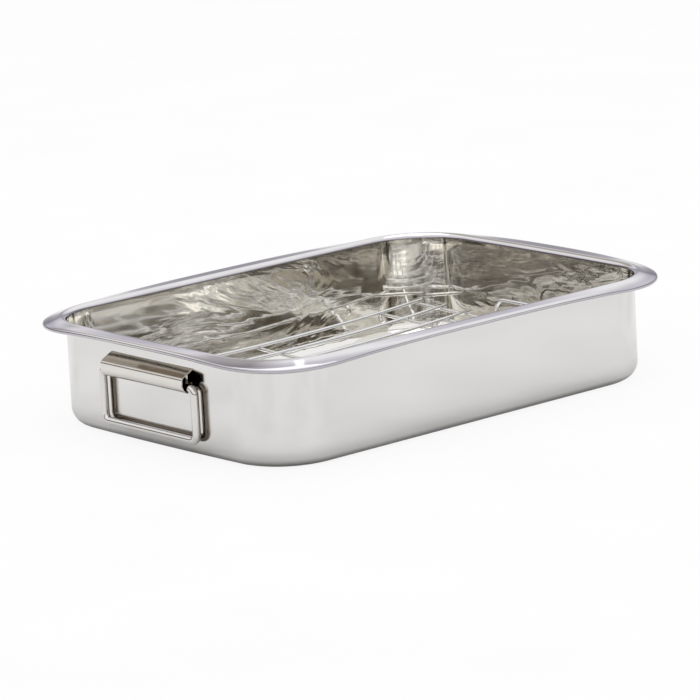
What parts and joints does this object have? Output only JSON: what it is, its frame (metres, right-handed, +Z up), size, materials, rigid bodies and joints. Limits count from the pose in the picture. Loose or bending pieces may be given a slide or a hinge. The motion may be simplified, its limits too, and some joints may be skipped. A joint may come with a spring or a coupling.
{
  "type": "roasting pan with rack",
  "caption": "Rectangular sheet steel roasting pan with rounded corners, a rolled drooping rim, a drop handle on each short end and a lift-out wire rack on bent legs.",
  "frame": {"origin": "middle of the pan's flat underside, where it rests on the table", "axes": "+Z up, +X along the pan from the left drop handle to the right one, +Y across the pan away from the viewer of the picture"},
  "size_m": [0.3682, 0.269, 0.072],
  "materials": {
    "pan_steel": "polished, slightly wavy drawn sheet",
    "bracket_steel": "polished folded sheet",
    "handle_wire": "polished round wire",
    "rack_chrome": "bright plated wire"
  },
  "bodies": {
    "pan": {"pan_body": "pan_steel", "handle_bracket_left": "bracket_steel", "handle_bracket_right": "bracket_steel"},
    "handle_left": {"drop_handle_left": "handle_wire"},
    "handle_right": {"drop_handle_right": "handle_wire"},
    "rack": {"rack_long_wire_1": "rack_chrome", "rack_long_wire_2": "rack_chrome", "rack_long_wire_3": "rack_chrome", "rack_long_wire_4": "rack_chrome", "rack_long_wire_5": "rack_chrome", "rack_long_wire_6": "rack_chrome", "rack_long_wire_7": "rack_chrome", "rack_long_wire_8": "rack_chrome", "rack_long_wire_9": "rack_chrome", "rack_cross_wire_left": "rack_chrome", "rack_cross_wire_middle": "rack_chrome", "rack_cross_wire_right": "rack_chrome", "rack_end_wire_left": "rack_chrome", "rack_end_wire_right": "rack_chrome", "rack_leg_wire_left": "rack_chrome", "rack_leg_wire_right": "rack_chrome", "rack_lift_loop_left": "rack_chrome", "rack_lift_loop_right": "rack_chrome"}
  },
  "joints": [
    {"name": "handle_left_hinge", "type": "hinge", "parent": "pan", "child": "handle_left", "pos_m": [-0.17455, 0, 0.04735], "axis": [0, 1, 0], "range_deg": [0, 142]},
    {"name": "handle_right_hinge", "type": "hinge", "parent": "pan", "child": "handle_right", "pos_m": [0.17455, 0, 0.04735], "axis": [0, -1, 0], "range_deg": [0, 142]},
    {"name": "rack_lift", "type": "slide", "parent": "pan", "child": "rack", "axis": [0, 0, 1], "range_m": [0, 0.09]}
  ]
}
